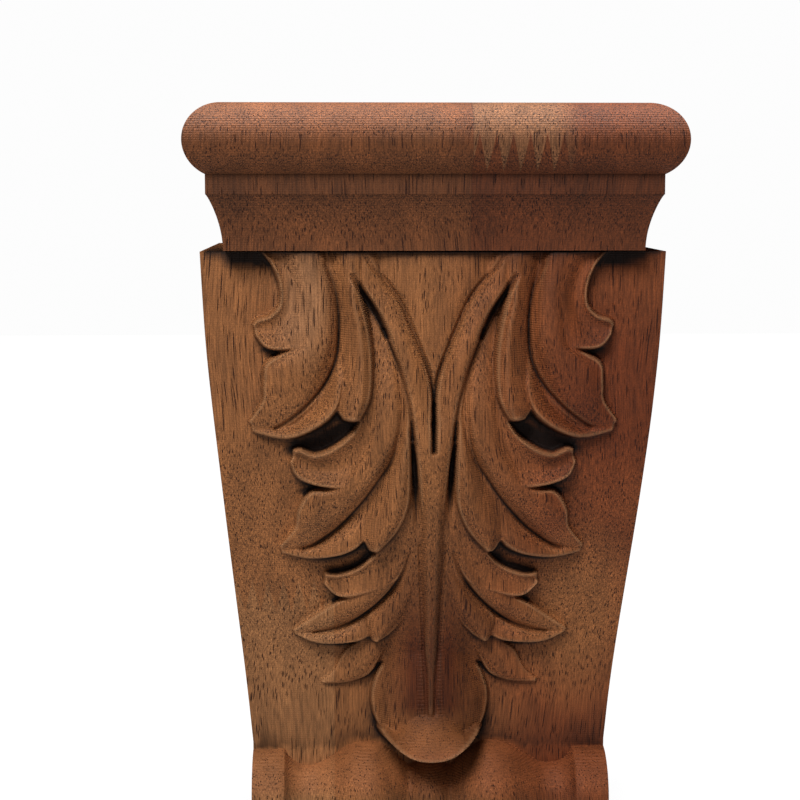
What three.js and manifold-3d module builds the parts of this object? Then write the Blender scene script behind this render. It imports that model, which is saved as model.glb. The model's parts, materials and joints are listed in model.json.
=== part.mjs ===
// Carved wooden corbel: a mitred bullnose cap over a tapering body with an acanthus leaf carved on
// its front, and a fluted roll at its foot. One glued-up blank, carved from the front, so one solid.
// Millimetres. X runs across the front, Y runs into the wall, Z is up.
// The origin is the middle of the flat back, so the front of the cap is at Y = -CAP_DEPTH.
import * as THREE from "three";
import { mergeVertices } from "three/addons/utils/BufferGeometryUtils.js";
import Module from "manifold-3d";

// Overall sizes
const CAP_WIDTH = 120;
const CAP_DEPTH = 80;
const HEIGHT = 192;
const TOP = HEIGHT / 2;

// Cap moulding: a bullnose, a square fillet and a cove, returned on both sides
const NOSE_RADIUS = 9;
const FILLET_SETBACK = 5;
const FILLET_TOP = NOSE_RADIUS + Math.sqrt(NOSE_RADIUS ** 2 - (NOSE_RADIUS - FILLET_SETBACK) ** 2);
const FILLET_BOTTOM = 21.8;
const COVE_SETBACK = 8.8;
const CAP_BOTTOM = 35.4;

// Body: its front runs plumb, falls back in one S curve to the neck, and its sides taper
const BODY_TOP = 35.8;
const BODY_FRONT = 65.5;
const NECK_FRONT = 46.5;
const FALL_START = 73.3;
const FALL_LENGTH = 85;
const BODY_BOTTOM = 178;
const TAPER_END = 166;
const HALF_WIDTHS = [
  [35.8, 57.3],
  [60, 56],
  [90, 53.2],
  [130, 49.9],
  [166, 46.6],
];
const BODY_LEVELS = 26;

// Foot: a roll with flat bands, two hollows, two lobes and a small centre bead
const ROLL_CENTRE_DOWN = 180;
const ROLL_CENTRE_FRONT = 45.5;
const ROLL_RADII = [
  [0, 9.6],
  [2.8, 8.8],
  [5.6, 7.6],
  [9, 10.6],
  [13, 13.4],
  [16.5, 14],
  [21, 13],
  [26, 10],
  [30, 7.9],
  [34, 7.9],
  [36.8, 9.6],
  [38.2, 12],
];
const ROLL_STEPS = 12;

// Leaf: half of it, in blades. Each blade runs between two edges given as [across, down] from the
// centre line and the top of the cap, and both edges have the same number of stations.
// relief is how far the blade stands off the body at five places from its outer to its inner edge,
// on rows evenly spaced from its start to its tip.
const BLADES = {
  upper_hook: {
    outer: [[42.5, 35], [39.5, 38.5], [37.5, 43.5], [37.5, 48.5], [40, 51.5], [43, 52.5], [44, 53.5]],
    inner: [[26.5, 35], [25, 42.5], [25, 48.5], [28.5, 55.5], [34, 59], [40.5, 59], [43.5, 56]],
    relief: [[3.4, 3.2, 4.8, 5, 2.4], [3.6, 3, 4.9, 5.4, 2.4], [3.4, 2.8, 3.4, 4.2, 4.4],
      [3.2, 2.8, 3, 3.4, 3.6]],
  },
  upper_main: {
    outer: [[32.5, 35], [32, 43.5], [32.5, 51], [33.5, 58.5], [37.5, 61], [41, 63.5], [41.5, 68],
      [42, 72.5], [45.5, 77.5]],
    inner: [[26.5, 35], [24.5, 43.5], [23.5, 50.5], [23.5, 56.5], [24.5, 62.5], [26.5, 68.5],
      [30, 74.5], [36, 79], [44, 80]],
    relief: [[3.6, 5, 5.2, 4.2, 2], [4, 5.6, 5.4, 4, 1.8], [4.4, 5.6, 5.4, 4, 1.8],
      [4.2, 4.9, 4.3, 3.2, 1.6], [2.5, 2.6, 2.5, 2.3, 2]],
  },
  upper_lobe: {
    outer: [[26.5, 35], [24.5, 43.5], [23.5, 50], [23.5, 57], [24.5, 65], [24.5, 72.5], [22, 76.5]],
    inner: [[17.5, 35], [18.2, 40.5], [18.4, 46], [16.5, 54], [15.5, 62.5], [16, 71], [18.5, 76.5]],
    relief: [[2.4, 3.8, 4.8, 5, 4.6], [2, 3.8, 5.2, 6.2, 5], [2, 4.4, 6.2, 7.4, 5.8],
      [6, 7.4, 8, 8, 6.6]],
  },
  upper_under: {
    outer: [[23.5, 56.5], [24.5, 62.5], [26.5, 68.5], [30, 74.5], [36, 79], [45, 79]],
    inner: [[22, 60], [22.5, 66.5], [24, 73.5], [29, 78.5], [36.5, 81.5], [44.5, 80.2]],
    relief: [[1.8, 2, 2.2, 2.4, 2.4], [1.8, 3, 4.6, 5.6, 6], [1.8, 2.8, 4, 4.8, 5],
      [2.2, 2.4, 2.5, 2.5, 2.3]],
  },
  middle_hook: {
    outer: [[14, 67], [16.5, 74], [20, 80.5], [25, 84.5], [29.5, 86], [33, 84.7], [34.5, 85]],
    inner: [[8, 79.5], [12, 88], [17, 92], [22, 94], [28.5, 93.5], [33.5, 91.5], [35.2, 88]],
    relief: [[3, 3.4, 3.6, 3.4, 3], [4.8, 3.4, 3.2, 4.4, 5.4], [3.6, 2.6, 2.6, 3, 3.7]],
  },
  middle_main: {
    outer: [[16, 51.5], [15.5, 62], [16, 71.5], [17.5, 84], [24.5, 94], [30.5, 96], [33.5, 100.5],
      [34.5, 105.5], [38.5, 110.5]],
    inner: [[13, 51.5], [9.5, 60.5], [7.5, 71], [8, 80.5], [12, 90.5], [17, 98.5], [23.5, 105],
      [30, 110], [38, 112]],
    relief: [[0.4, 0.6, 0.8, 0.8, 0.6], [3, 4.4, 4.9, 4.8, 3.6], [3.8, 5.3, 5.7, 5.3, 3],
      [3.8, 4.9, 5, 4.6, 2.2], [2.5, 2.6, 2.5, 2.3, 2]],
  },
  middle_lobe: {
    outer: [[9.4, 61], [8.2, 70], [7.8, 79], [10, 86.5], [13.5, 94], [16.5, 100], [18, 106],
      [15.5, 111.2]],
    inner: [[9, 61], [7, 70.5], [6, 79], [6, 86], [6, 93.5], [6.5, 99.5], [9, 105.5], [13.5, 111]],
    relief: [[2.2, 2.2, 2.2, 2.2, 2.2], [3.2, 4, 4.6, 4.8, 4.2], [2.2, 4, 5.8, 6.6, 5.4],
      [5, 6.2, 7, 7, 6]],
  },
  middle_under: {
    outer: [[13.5, 94], [18.5, 100.5], [23.5, 105], [30, 110], [38.2, 111.2]],
    inner: [[14.5, 102], [17.5, 108.5], [22.5, 112], [31, 113.5], [38, 112.4]],
    relief: [[1.8, 2.2, 2.6, 3, 3.2], [1.8, 3, 4.4, 5.2, 5.4], [2.2, 2.3, 2.4, 2.4, 2.2]],
  },
  lower_hook: {
    outer: [[6.4, 98.5], [8.7, 104.5], [12.5, 110.5], [17.5, 116], [23, 118.5], [27, 118.5]],
    inner: [[5.6, 112], [9, 119.5], [14.5, 122.3], [20, 124], [24, 124], [27.2, 121]],
    relief: [[2.6, 3.2, 3.6, 3.8, 3.8], [3.4, 3.2, 3.4, 4, 4.6], [3.2, 2.6, 2.6, 2.9, 3.4]],
  },
  lower_main: {
    outer: [[5.6, 101], [8.2, 111], [12.8, 119.5], [19.2, 123.8], [25, 127], [30, 130.5],
      [35.5, 134.3]],
    inner: [[4.2, 105], [5.8, 113.5], [9.4, 121.5], [14, 127.5], [21.5, 132.5], [29, 135],
      [35.2, 135.5]],
    relief: [[3, 3.4, 3.6, 3.6, 3.2], [3.6, 4.6, 4.8, 4.2, 2.1], [2.4, 2.5, 2.3, 2.2, 2]],
  },
  lower_lobe: {
    outer: [[4.4, 106], [5.9, 114.5], [9.3, 121.8], [13.5, 126.5], [16.5, 131.5], [15, 136.7]],
    inner: [[3.4, 107], [3.4, 115], [4.3, 122.5], [6.4, 129.3], [10, 134], [13.5, 136.7]],
    relief: [[2.4, 2.8, 3.2, 3.4, 3.4], [2, 3.8, 5, 5.2, 4.4], [4.4, 5.4, 6, 6, 5]],
  },
  lower_under: {
    outer: [[12, 125], [17.5, 130], [24, 133], [30.5, 135], [35.4, 134.7]],
    inner: [[12, 132.5], [17.5, 136.5], [23.5, 137.5], [30, 137.5], [35, 135.6]],
    relief: [[1.8, 2.2, 2.5, 2.8, 2.9], [1.8, 2.8, 3.8, 4.6, 4.7], [2.1, 2.2, 2.3, 2.3, 2.1]],
  },
  foot_leaflet: {
    outer: [[6, 127], [11, 134], [17.5, 137.5], [22, 140.5], [25, 146], [28.5, 149]],
    inner: [[5, 129], [9, 135], [13, 142], [16.5, 147.5], [22.5, 149.5], [28, 149.8]],
    relief: [[1.4, 1.6, 1.8, 1.9, 2], [1.5, 2, 2.5, 2.7, 2.2], [0.7, 0.9, 1.1, 1.1, 0.9]],
  },
  stem: {
    outer: [[17.5, 35], [18, 43.5], [15, 49], [11.5, 56], [8.5, 64.5], [7, 72], [6, 79]],
    inner: [[14.5, 35], [12, 43], [8, 48], [5.5, 54], [3, 61], [1, 69], [0.6, 77.5]],
    relief: [[4.4, 4.6, 4.4, 4, 3.4], [4.8, 5.4, 5.2, 4.6, 3.4], [5.2, 6.4, 6.4, 5.6, 4.2],
      [4.8, 5.2, 5.2, 5, 4.8]],
  },
  rib: {
    outer: [[7, 71.5], [6, 79], [4, 87], [3, 97], [2.5, 113.5], [1.6, 136], [1.1, 157]],
    inner: [[1, 71.5], [0.9, 78], [-0.3, 87], [-0.3, 97], [-0.3, 113.5], [-0.3, 136], [-0.3, 157]],
    relief: [[4, 4.6, 4.8, 4.5, 4.2], [5.2, 5.9, 6.4, 6.5, 6.4], [5.8, 6.8, 7.5, 7.6, 7.4],
      [9.4, 9.8, 10, 10.1, 10]],
  },
  heart: {
    outer: [[14.5, 35], [12, 43], [8, 48], [5.5, 54], [3, 61], [1, 69], [0.2, 76.5]],
    inner: [[-0.3, 35], [-0.3, 43], [-0.3, 48], [-0.3, 54], [-0.3, 61], [-0.3, 69], [-0.3, 76.5]],
    relief: [[3.2, 4, 4.3, 4.3, 4.3], [3.4, 4.2, 4.5, 4.5, 4.5], [3.6, 4, 4.2, 4.2, 4.2],
      [1.5, 1.5, 1.5, 1.5, 1.5]],
  },
  spine: {
    outer: [[8.6, 91.5], [10.6, 98], [13, 105], [11.5, 113], [9.2, 121], [9, 130], [9.6, 139]],
    inner: [[-0.3, 91.5], [-0.3, 98], [-0.3, 105], [-0.3, 113], [-0.3, 121], [-0.3, 130], [-0.3, 139]],
    relief: [[1.2, 1.6, 2, 2, 2], [2.2, 2.9, 3.5, 3.8, 3.8], [2.4, 3.6, 4.2, 4.4, 4.4],
      [3, 4.4, 5.4, 5.8, 5.8]],
  },
  tongue: {
    outer: [[5, 127.5], [9, 136], [12.4, 144], [15, 151.5], [14.4, 157.5], [12.2, 161.5], [9, 164]],
    inner: [[-0.3, 122], [-0.3, 135], [-0.3, 144], [-0.3, 152], [-0.3, 158.5], [-0.3, 161.5],
      [-0.3, 164]],
    relief: [[1, 1.6, 2, 2.4, 2.8], [3.4, 6.4, 7.6, 8, 8.2], [6.4, 8.7, 9.4, 9.5, 9.5],
      [9.2, 9.5, 9.5, 9.5, 9.5]],
  },
  lip: {
    outer: [[-0.3, 155.8], [2.6, 156.4], [5.2, 158], [7.6, 160.2], [9.6, 162], [11.6, 162.3]],
    inner: [[-0.3, 166], [3, 165.8], [6, 164.8], [8.6, 163.2], [10.6, 161.9], [12.1, 160.9]],
    relief: [[9.5, 11.2, 13.6, 16.2, 18.6], [9.5, 11.1, 13.4, 16, 18.4], [9.5, 10.9, 13, 15.5, 17.8],
      [9.6, 10.8, 12.6, 14.6, 16.6], [9.8, 10.6, 11.8, 13, 14.2], [10, 10.3, 10.6, 10.9, 11]],
  },
};
const BLADE_STEPS = 11;
const BLADE_STRIPS = 4;
const BLADE_ROOT = 30;

// Slivers smaller than this, left where blades cross, are closed up
const SMALLEST_EDGE = 0.03;

const smoothstep = (t) => {
  const c = Math.min(Math.max(t, 0), 1);
  return c * c * (3 - 2 * c);
};

// A value read at x from stations [x, value], along a smooth curve through them
function along(stations, x) {
  const curve = new THREE.SplineCurve(stations.map(([a, b]) => new THREE.Vector2(a, b)));
  let low = 0;
  let high = 1;
  for (let i = 0; i < 30; i++) {
    const middle = (low + high) / 2;
    if (curve.getPoint(middle).x < x) low = middle;
    else high = middle;
  }
  return curve.getPoint(low).y;
}

// How far the plain body stands off the wall at a depth below the top
const bodyFront = (down) =>
  BODY_FRONT - (BODY_FRONT - NECK_FRONT) * smoothstep((down - FALL_START) / FALL_LENGTH);

// The setback of the cap's moulding from its widest line, at a depth below the top
function capSetback(down) {
  if (down < FILLET_TOP) {
    const rise = NOSE_RADIUS - down;
    return NOSE_RADIUS - Math.sqrt(Math.max(NOSE_RADIUS ** 2 - rise ** 2, 0));
  }
  if (down < FILLET_BOTTOM) return FILLET_SETBACK;
  const fall = (down - FILLET_BOTTOM) / (CAP_BOTTOM - FILLET_BOTTOM);
  const reach = COVE_SETBACK - FILLET_SETBACK;
  return FILLET_SETBACK + reach * Math.sin((Math.min(fall, 1) * Math.PI) / 2) ** 0.8;
}

// A box cut into segments and bent by a function of its three coordinates, each from 0 to 1
function bent(segments, shape) {
  const box = new THREE.BoxGeometry(1, 1, 1, ...segments);
  const spots = box.getAttribute("position");
  for (let i = 0; i < spots.count; i++) {
    const at = shape(spots.getX(i) + 0.5, spots.getY(i) + 0.5, spots.getZ(i) + 0.5);
    spots.setXYZ(i, ...at);
  }
  return box;
}

const wasm = await Module();
wasm.setup();

function solid(geometry) {
  const bare = geometry.clone();
  bare.deleteAttribute("normal");
  bare.deleteAttribute("uv");
  const merged = mergeVertices(bare, 1e-4);
  const vertProperties = new Float32Array(merged.getAttribute("position").array);
  const triVerts = new Uint32Array(merged.index.array);
  const make = () => new wasm.Manifold(new wasm.Mesh({ numProp: 3, vertProperties, triVerts }));
  const made = make();
  if (made.volume() > 0) return made;
  for (let i = 0; i < triVerts.length; i += 3)
    [triVerts[i + 1], triVerts[i + 2]] = [triVerts[i + 2], triVerts[i + 1]];
  return make();
}

function geometryOf(manifold) {
  const mesh = manifold.getMesh();
  const geometry = new THREE.BufferGeometry();
  geometry.setAttribute("position", new THREE.BufferAttribute(mesh.vertProperties, 3));
  geometry.setIndex(new THREE.BufferAttribute(mesh.triVerts, 1));
  geometry.computeVertexNormals();
  return geometry;
}

// Body: a stack of rectangles, each as wide and as deep as its level needs
const levels = [];
for (let i = 0; i <= BODY_LEVELS; i++) levels.push(BODY_TOP + ((TAPER_END - BODY_TOP) * i) / BODY_LEVELS);
levels.push(BODY_BOTTOM);
const body = bent([1, 1, levels.length - 1], (across, back, up) => {
  const down = levels[Math.round((1 - up) * (levels.length - 1))];
  const half = along(HALF_WIDTHS, Math.min(down, TAPER_END));
  return [half * (2 * across - 1), -bodyFront(down) * (1 - back), TOP - down];
});

// Cap: the same, with its levels set close together round the bullnose and the cove
const capLevels = [];
for (let i = 0; i <= 6; i++) capLevels.push(NOSE_RADIUS * (1 - Math.cos((Math.PI * i) / 12)));
for (let i = 1; i <= 5; i++) {
  const angle = (i / 5) * Math.asin(FILLET_TOP / NOSE_RADIUS - 1);
  capLevels.push(NOSE_RADIUS * (1 + Math.sin(angle)));
}
for (let i = 0; i <= 8; i++)
  capLevels.push(FILLET_BOTTOM + (CAP_BOTTOM - FILLET_BOTTOM) * (i / 8) ** 1.6);
const cap = bent([1, 1, capLevels.length - 1], (across, back, up) => {
  const down = capLevels[Math.round((1 - up) * (capLevels.length - 1))];
  const setback = capSetback(down);
  const half = CAP_WIDTH / 2 - setback;
  return [half * (2 * across - 1), -(CAP_DEPTH - setback) * (1 - back), TOP - down];
});

// Seat: the plug of timber behind the cove's lower edge that carries the cap on the body
const seat = bent([1, 1, 1], (across, back, up) => {
  const half = CAP_WIDTH / 2 - COVE_SETBACK - 2;
  const front = BODY_FRONT - 2;
  return [half * (2 * across - 1), -front * (1 - back), TOP - BODY_TOP - 1 + 4 * up];
});

// Foot: a roll whose radius rises and falls across the front, run straight back to the wall
const rollStations = [-46.6];
for (const [x] of [...ROLL_RADII].reverse()) rollStations.push(-x);
const across = [];
for (let i = 0; i < rollStations.length - 1; i++) {
  across.push(rollStations[i]);
  if (i > 0) across.push((rollStations[i] + rollStations[i + 1]) / 2);
}
const columns = [...across, 0, ...across.map((x) => -x).reverse()];
const rollRadius = (x) =>
  Math.abs(x) >= 38.2 ? ROLL_RADII.at(-1)[1] : along(ROLL_RADII, Math.abs(x));
const foot = bent([columns.length - 1, 1, ROLL_STEPS], (side, back, up) => {
  const x = columns[Math.round(side * (columns.length - 1))];
  const radius = rollRadius(x);
  const angle = (Math.PI / 180) * (-90 + 190 * up);
  const front = ROLL_CENTRE_FRONT + radius * Math.cos(angle);
  const down = Math.min(ROLL_CENTRE_DOWN - radius * Math.sin(angle), HEIGHT);
  return [x, -front * (1 - back), TOP - down];
});

// One leaf blade on one side of the centre line
function blade({ outer, inner, relief }, side) {
  const edge = (points) => new THREE.SplineCurve(points.map(([x, d]) => new THREE.Vector2(x, d)));
  const outerEdge = edge(outer);
  const innerEdge = edge(inner);
  const heights = [];
  for (let column = 0; column <= BLADE_STRIPS; column++)
    heights.push(edge(relief.map((row, i) => [i, row[column]])));
  return bent([BLADE_STEPS, BLADE_STRIPS, 1], (u, v, out) => {
    const spot = outerEdge.getPoint(u).lerp(innerEdge.getPoint(u), v);
    const rise = heights[Math.round(v * BLADE_STRIPS)].getPoint(u).y;
    const front = out > 0.5 ? bodyFront(spot.y) + rise : BLADE_ROOT;
    return [side * spot.x, -front, TOP - spot.y];
  });
}
const leaf = [];
for (const layout of Object.values(BLADES))
  for (const side of [-1, 1]) leaf.push(solid(blade(layout, side)));

const joined = wasm.Manifold.union([solid(body), solid(cap), solid(seat), solid(foot), ...leaf]);
const carved = joined.simplify(SMALLEST_EDGE);
const corbel = new THREE.Mesh(
  geometryOf(carved),
  new THREE.MeshStandardMaterial({ color: 0x8a5a3c, roughness: 0.65, metalness: 0 }),
);
corbel.name = "carved_corbel";

const part = new THREE.Group();
part.add(corbel);

export default part;
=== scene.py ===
# %% [markdown]
# # Carved corbel
# A corbel in brown hardwood: a mitred bullnose cap over a body that tapers and falls back in an S
# curve, with an acanthus leaf cut into its front and a fluted roll at its foot. A router carved
# it from one glued-up blank and it was never stained or varnished, so tool marks, open pores
# and glue lines are all in view. It is carved as one, so it is made here as one mesh, with one wood.

import json
import math

import bmesh
import bpy
import numpy as np
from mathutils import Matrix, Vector

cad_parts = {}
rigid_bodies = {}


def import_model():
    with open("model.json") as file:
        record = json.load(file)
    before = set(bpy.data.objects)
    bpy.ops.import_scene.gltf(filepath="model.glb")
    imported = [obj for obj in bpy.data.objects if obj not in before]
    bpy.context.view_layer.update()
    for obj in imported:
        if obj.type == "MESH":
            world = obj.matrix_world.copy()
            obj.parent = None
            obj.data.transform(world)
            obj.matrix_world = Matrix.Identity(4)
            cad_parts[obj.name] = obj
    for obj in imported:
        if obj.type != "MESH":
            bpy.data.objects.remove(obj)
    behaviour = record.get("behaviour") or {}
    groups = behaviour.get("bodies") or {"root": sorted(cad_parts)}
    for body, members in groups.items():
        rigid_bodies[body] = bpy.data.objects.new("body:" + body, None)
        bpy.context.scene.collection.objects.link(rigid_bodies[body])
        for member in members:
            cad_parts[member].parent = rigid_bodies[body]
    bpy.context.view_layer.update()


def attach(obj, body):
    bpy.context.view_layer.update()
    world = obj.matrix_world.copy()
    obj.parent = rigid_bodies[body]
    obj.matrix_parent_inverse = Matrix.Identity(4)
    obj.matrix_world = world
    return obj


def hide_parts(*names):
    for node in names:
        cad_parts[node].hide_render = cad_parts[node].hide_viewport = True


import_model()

# %% [markdown]
# ## Sizes
# Everything is worked out in millimetres and turned to metres when a mesh is made. A place on the
# corbel is given by how far it is across from the centre line, how far down from the top of the
# cap, and how far forward of the wall. The origin is in the middle of the flat back. These are the
# sizes that the solid model has too.

# %% Sizes
MM = 0.001
CAP_WIDTH = 120
CAP_DEPTH = 80
HEIGHT = 192
TOP = HEIGHT / 2
NOSE_RADIUS = 9
FILLET_SETBACK = 5
FILLET_TOP = NOSE_RADIUS + math.sqrt(NOSE_RADIUS**2 - (NOSE_RADIUS - FILLET_SETBACK) ** 2)
FILLET_BOTTOM = 21.8
COVE_SETBACK = 8.8
CAP_BOTTOM = 35.4
BODY_TOP = 35.8
BODY_FRONT = 65.5
NECK_FRONT = 46.5
FALL_START = 73.3
FALL_LENGTH = 85
TAPER_END = 166
HALF_WIDTHS = [(35.8, 57.3), (60, 56), (90, 53.2), (130, 49.9), (166, 46.6)]
ROLL_CENTRE_DOWN = 180
ROLL_CENTRE_FRONT = 45.5
ROLL_BAND = 38.2
ROLL_RADII = [
    (0, 9.6), (2.8, 8.8), (5.6, 7.6), (9, 10.6), (13, 13.4), (16.5, 14), (21, 13), (26, 10),
    (30, 7.9), (34, 7.9), (36.8, 9.6), (38.2, 12),
]
print("corbel of", CAP_WIDTH, "by", CAP_DEPTH, "by", HEIGHT, "mm")

# %% [markdown]
# ## Curves
# A carver draws a long edge by bending a thin batten round a few pins. Every curve here is drawn the
# same way: a few stations, and a smooth curve whose slope at each comes from its neighbours.

# %% Curves
CURVE_SAMPLES = 4001


def smoothstep(t):
    c = np.clip(t, 0, 1)
    return c * c * (3 - 2 * c)


def spline(stations, u):
    """Values at u, from 0 to 1, on a smooth curve through evenly spaced stations."""
    points = np.asarray(stations, float)
    last = len(points) - 1
    place = np.clip(np.asarray(u, float), 0, 1) * last
    i = np.minimum(place.astype(int), last - 1)
    w = (place - i)[..., None]
    before, start, end = points[np.maximum(i - 1, 0)], points[i], points[i + 1]
    after = points[np.minimum(i + 2, last)]
    leave = (end - before) / 2
    arrive = (after - start) / 2
    bend = 2 * start - 2 * end + leave + arrive
    turn = -3 * start + 3 * end - 2 * leave - arrive
    return bend * w**3 + turn * w**2 + leave * w + start


def along(stations, x):
    """The value at x of a smooth curve through stations of (x, value)."""
    fine = spline(stations, np.linspace(0, 1, CURVE_SAMPLES))
    return np.interp(x, fine[:, 0], fine[:, 1])


def body_front(down):
    fall = smoothstep((down - FALL_START) / FALL_LENGTH)
    return BODY_FRONT - (BODY_FRONT - NECK_FRONT) * fall


def body_half(down):
    return along(HALF_WIDTHS, np.clip(down, BODY_TOP, TAPER_END))


def roll_radius(across):
    across = np.abs(across)
    return np.where(across >= ROLL_BAND, ROLL_RADII[-1][1], along(ROLL_RADII, across))


print("body is", round(2 * float(body_half(BODY_TOP)), 1), "mm wide at the top and",
      round(2 * float(body_half(TAPER_END)), 1), "mm at the neck")

# %% [markdown]
# ## The leaf
# An acanthus is a family of blades: three sprays on each side, each with a hooked tip, a main
# lobe, an inner lobe and a turned-up edge, then a stem and a centre rib, the heart between the
# stems, the spine that the lower sprays grow from, and a tongue with a scooped lip. It could be
# sculpted, or modelled blade by blade with subdivision. A router sees it as a height at every spot
# of the front, and so does this lesson. A blade runs between two edges, each a smooth curve through
# a few stations of (across, down). Its relief gives how far it stands off the body, at five places
# from its outer to its inner edge, on three or more rows from its start to its tip.

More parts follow.
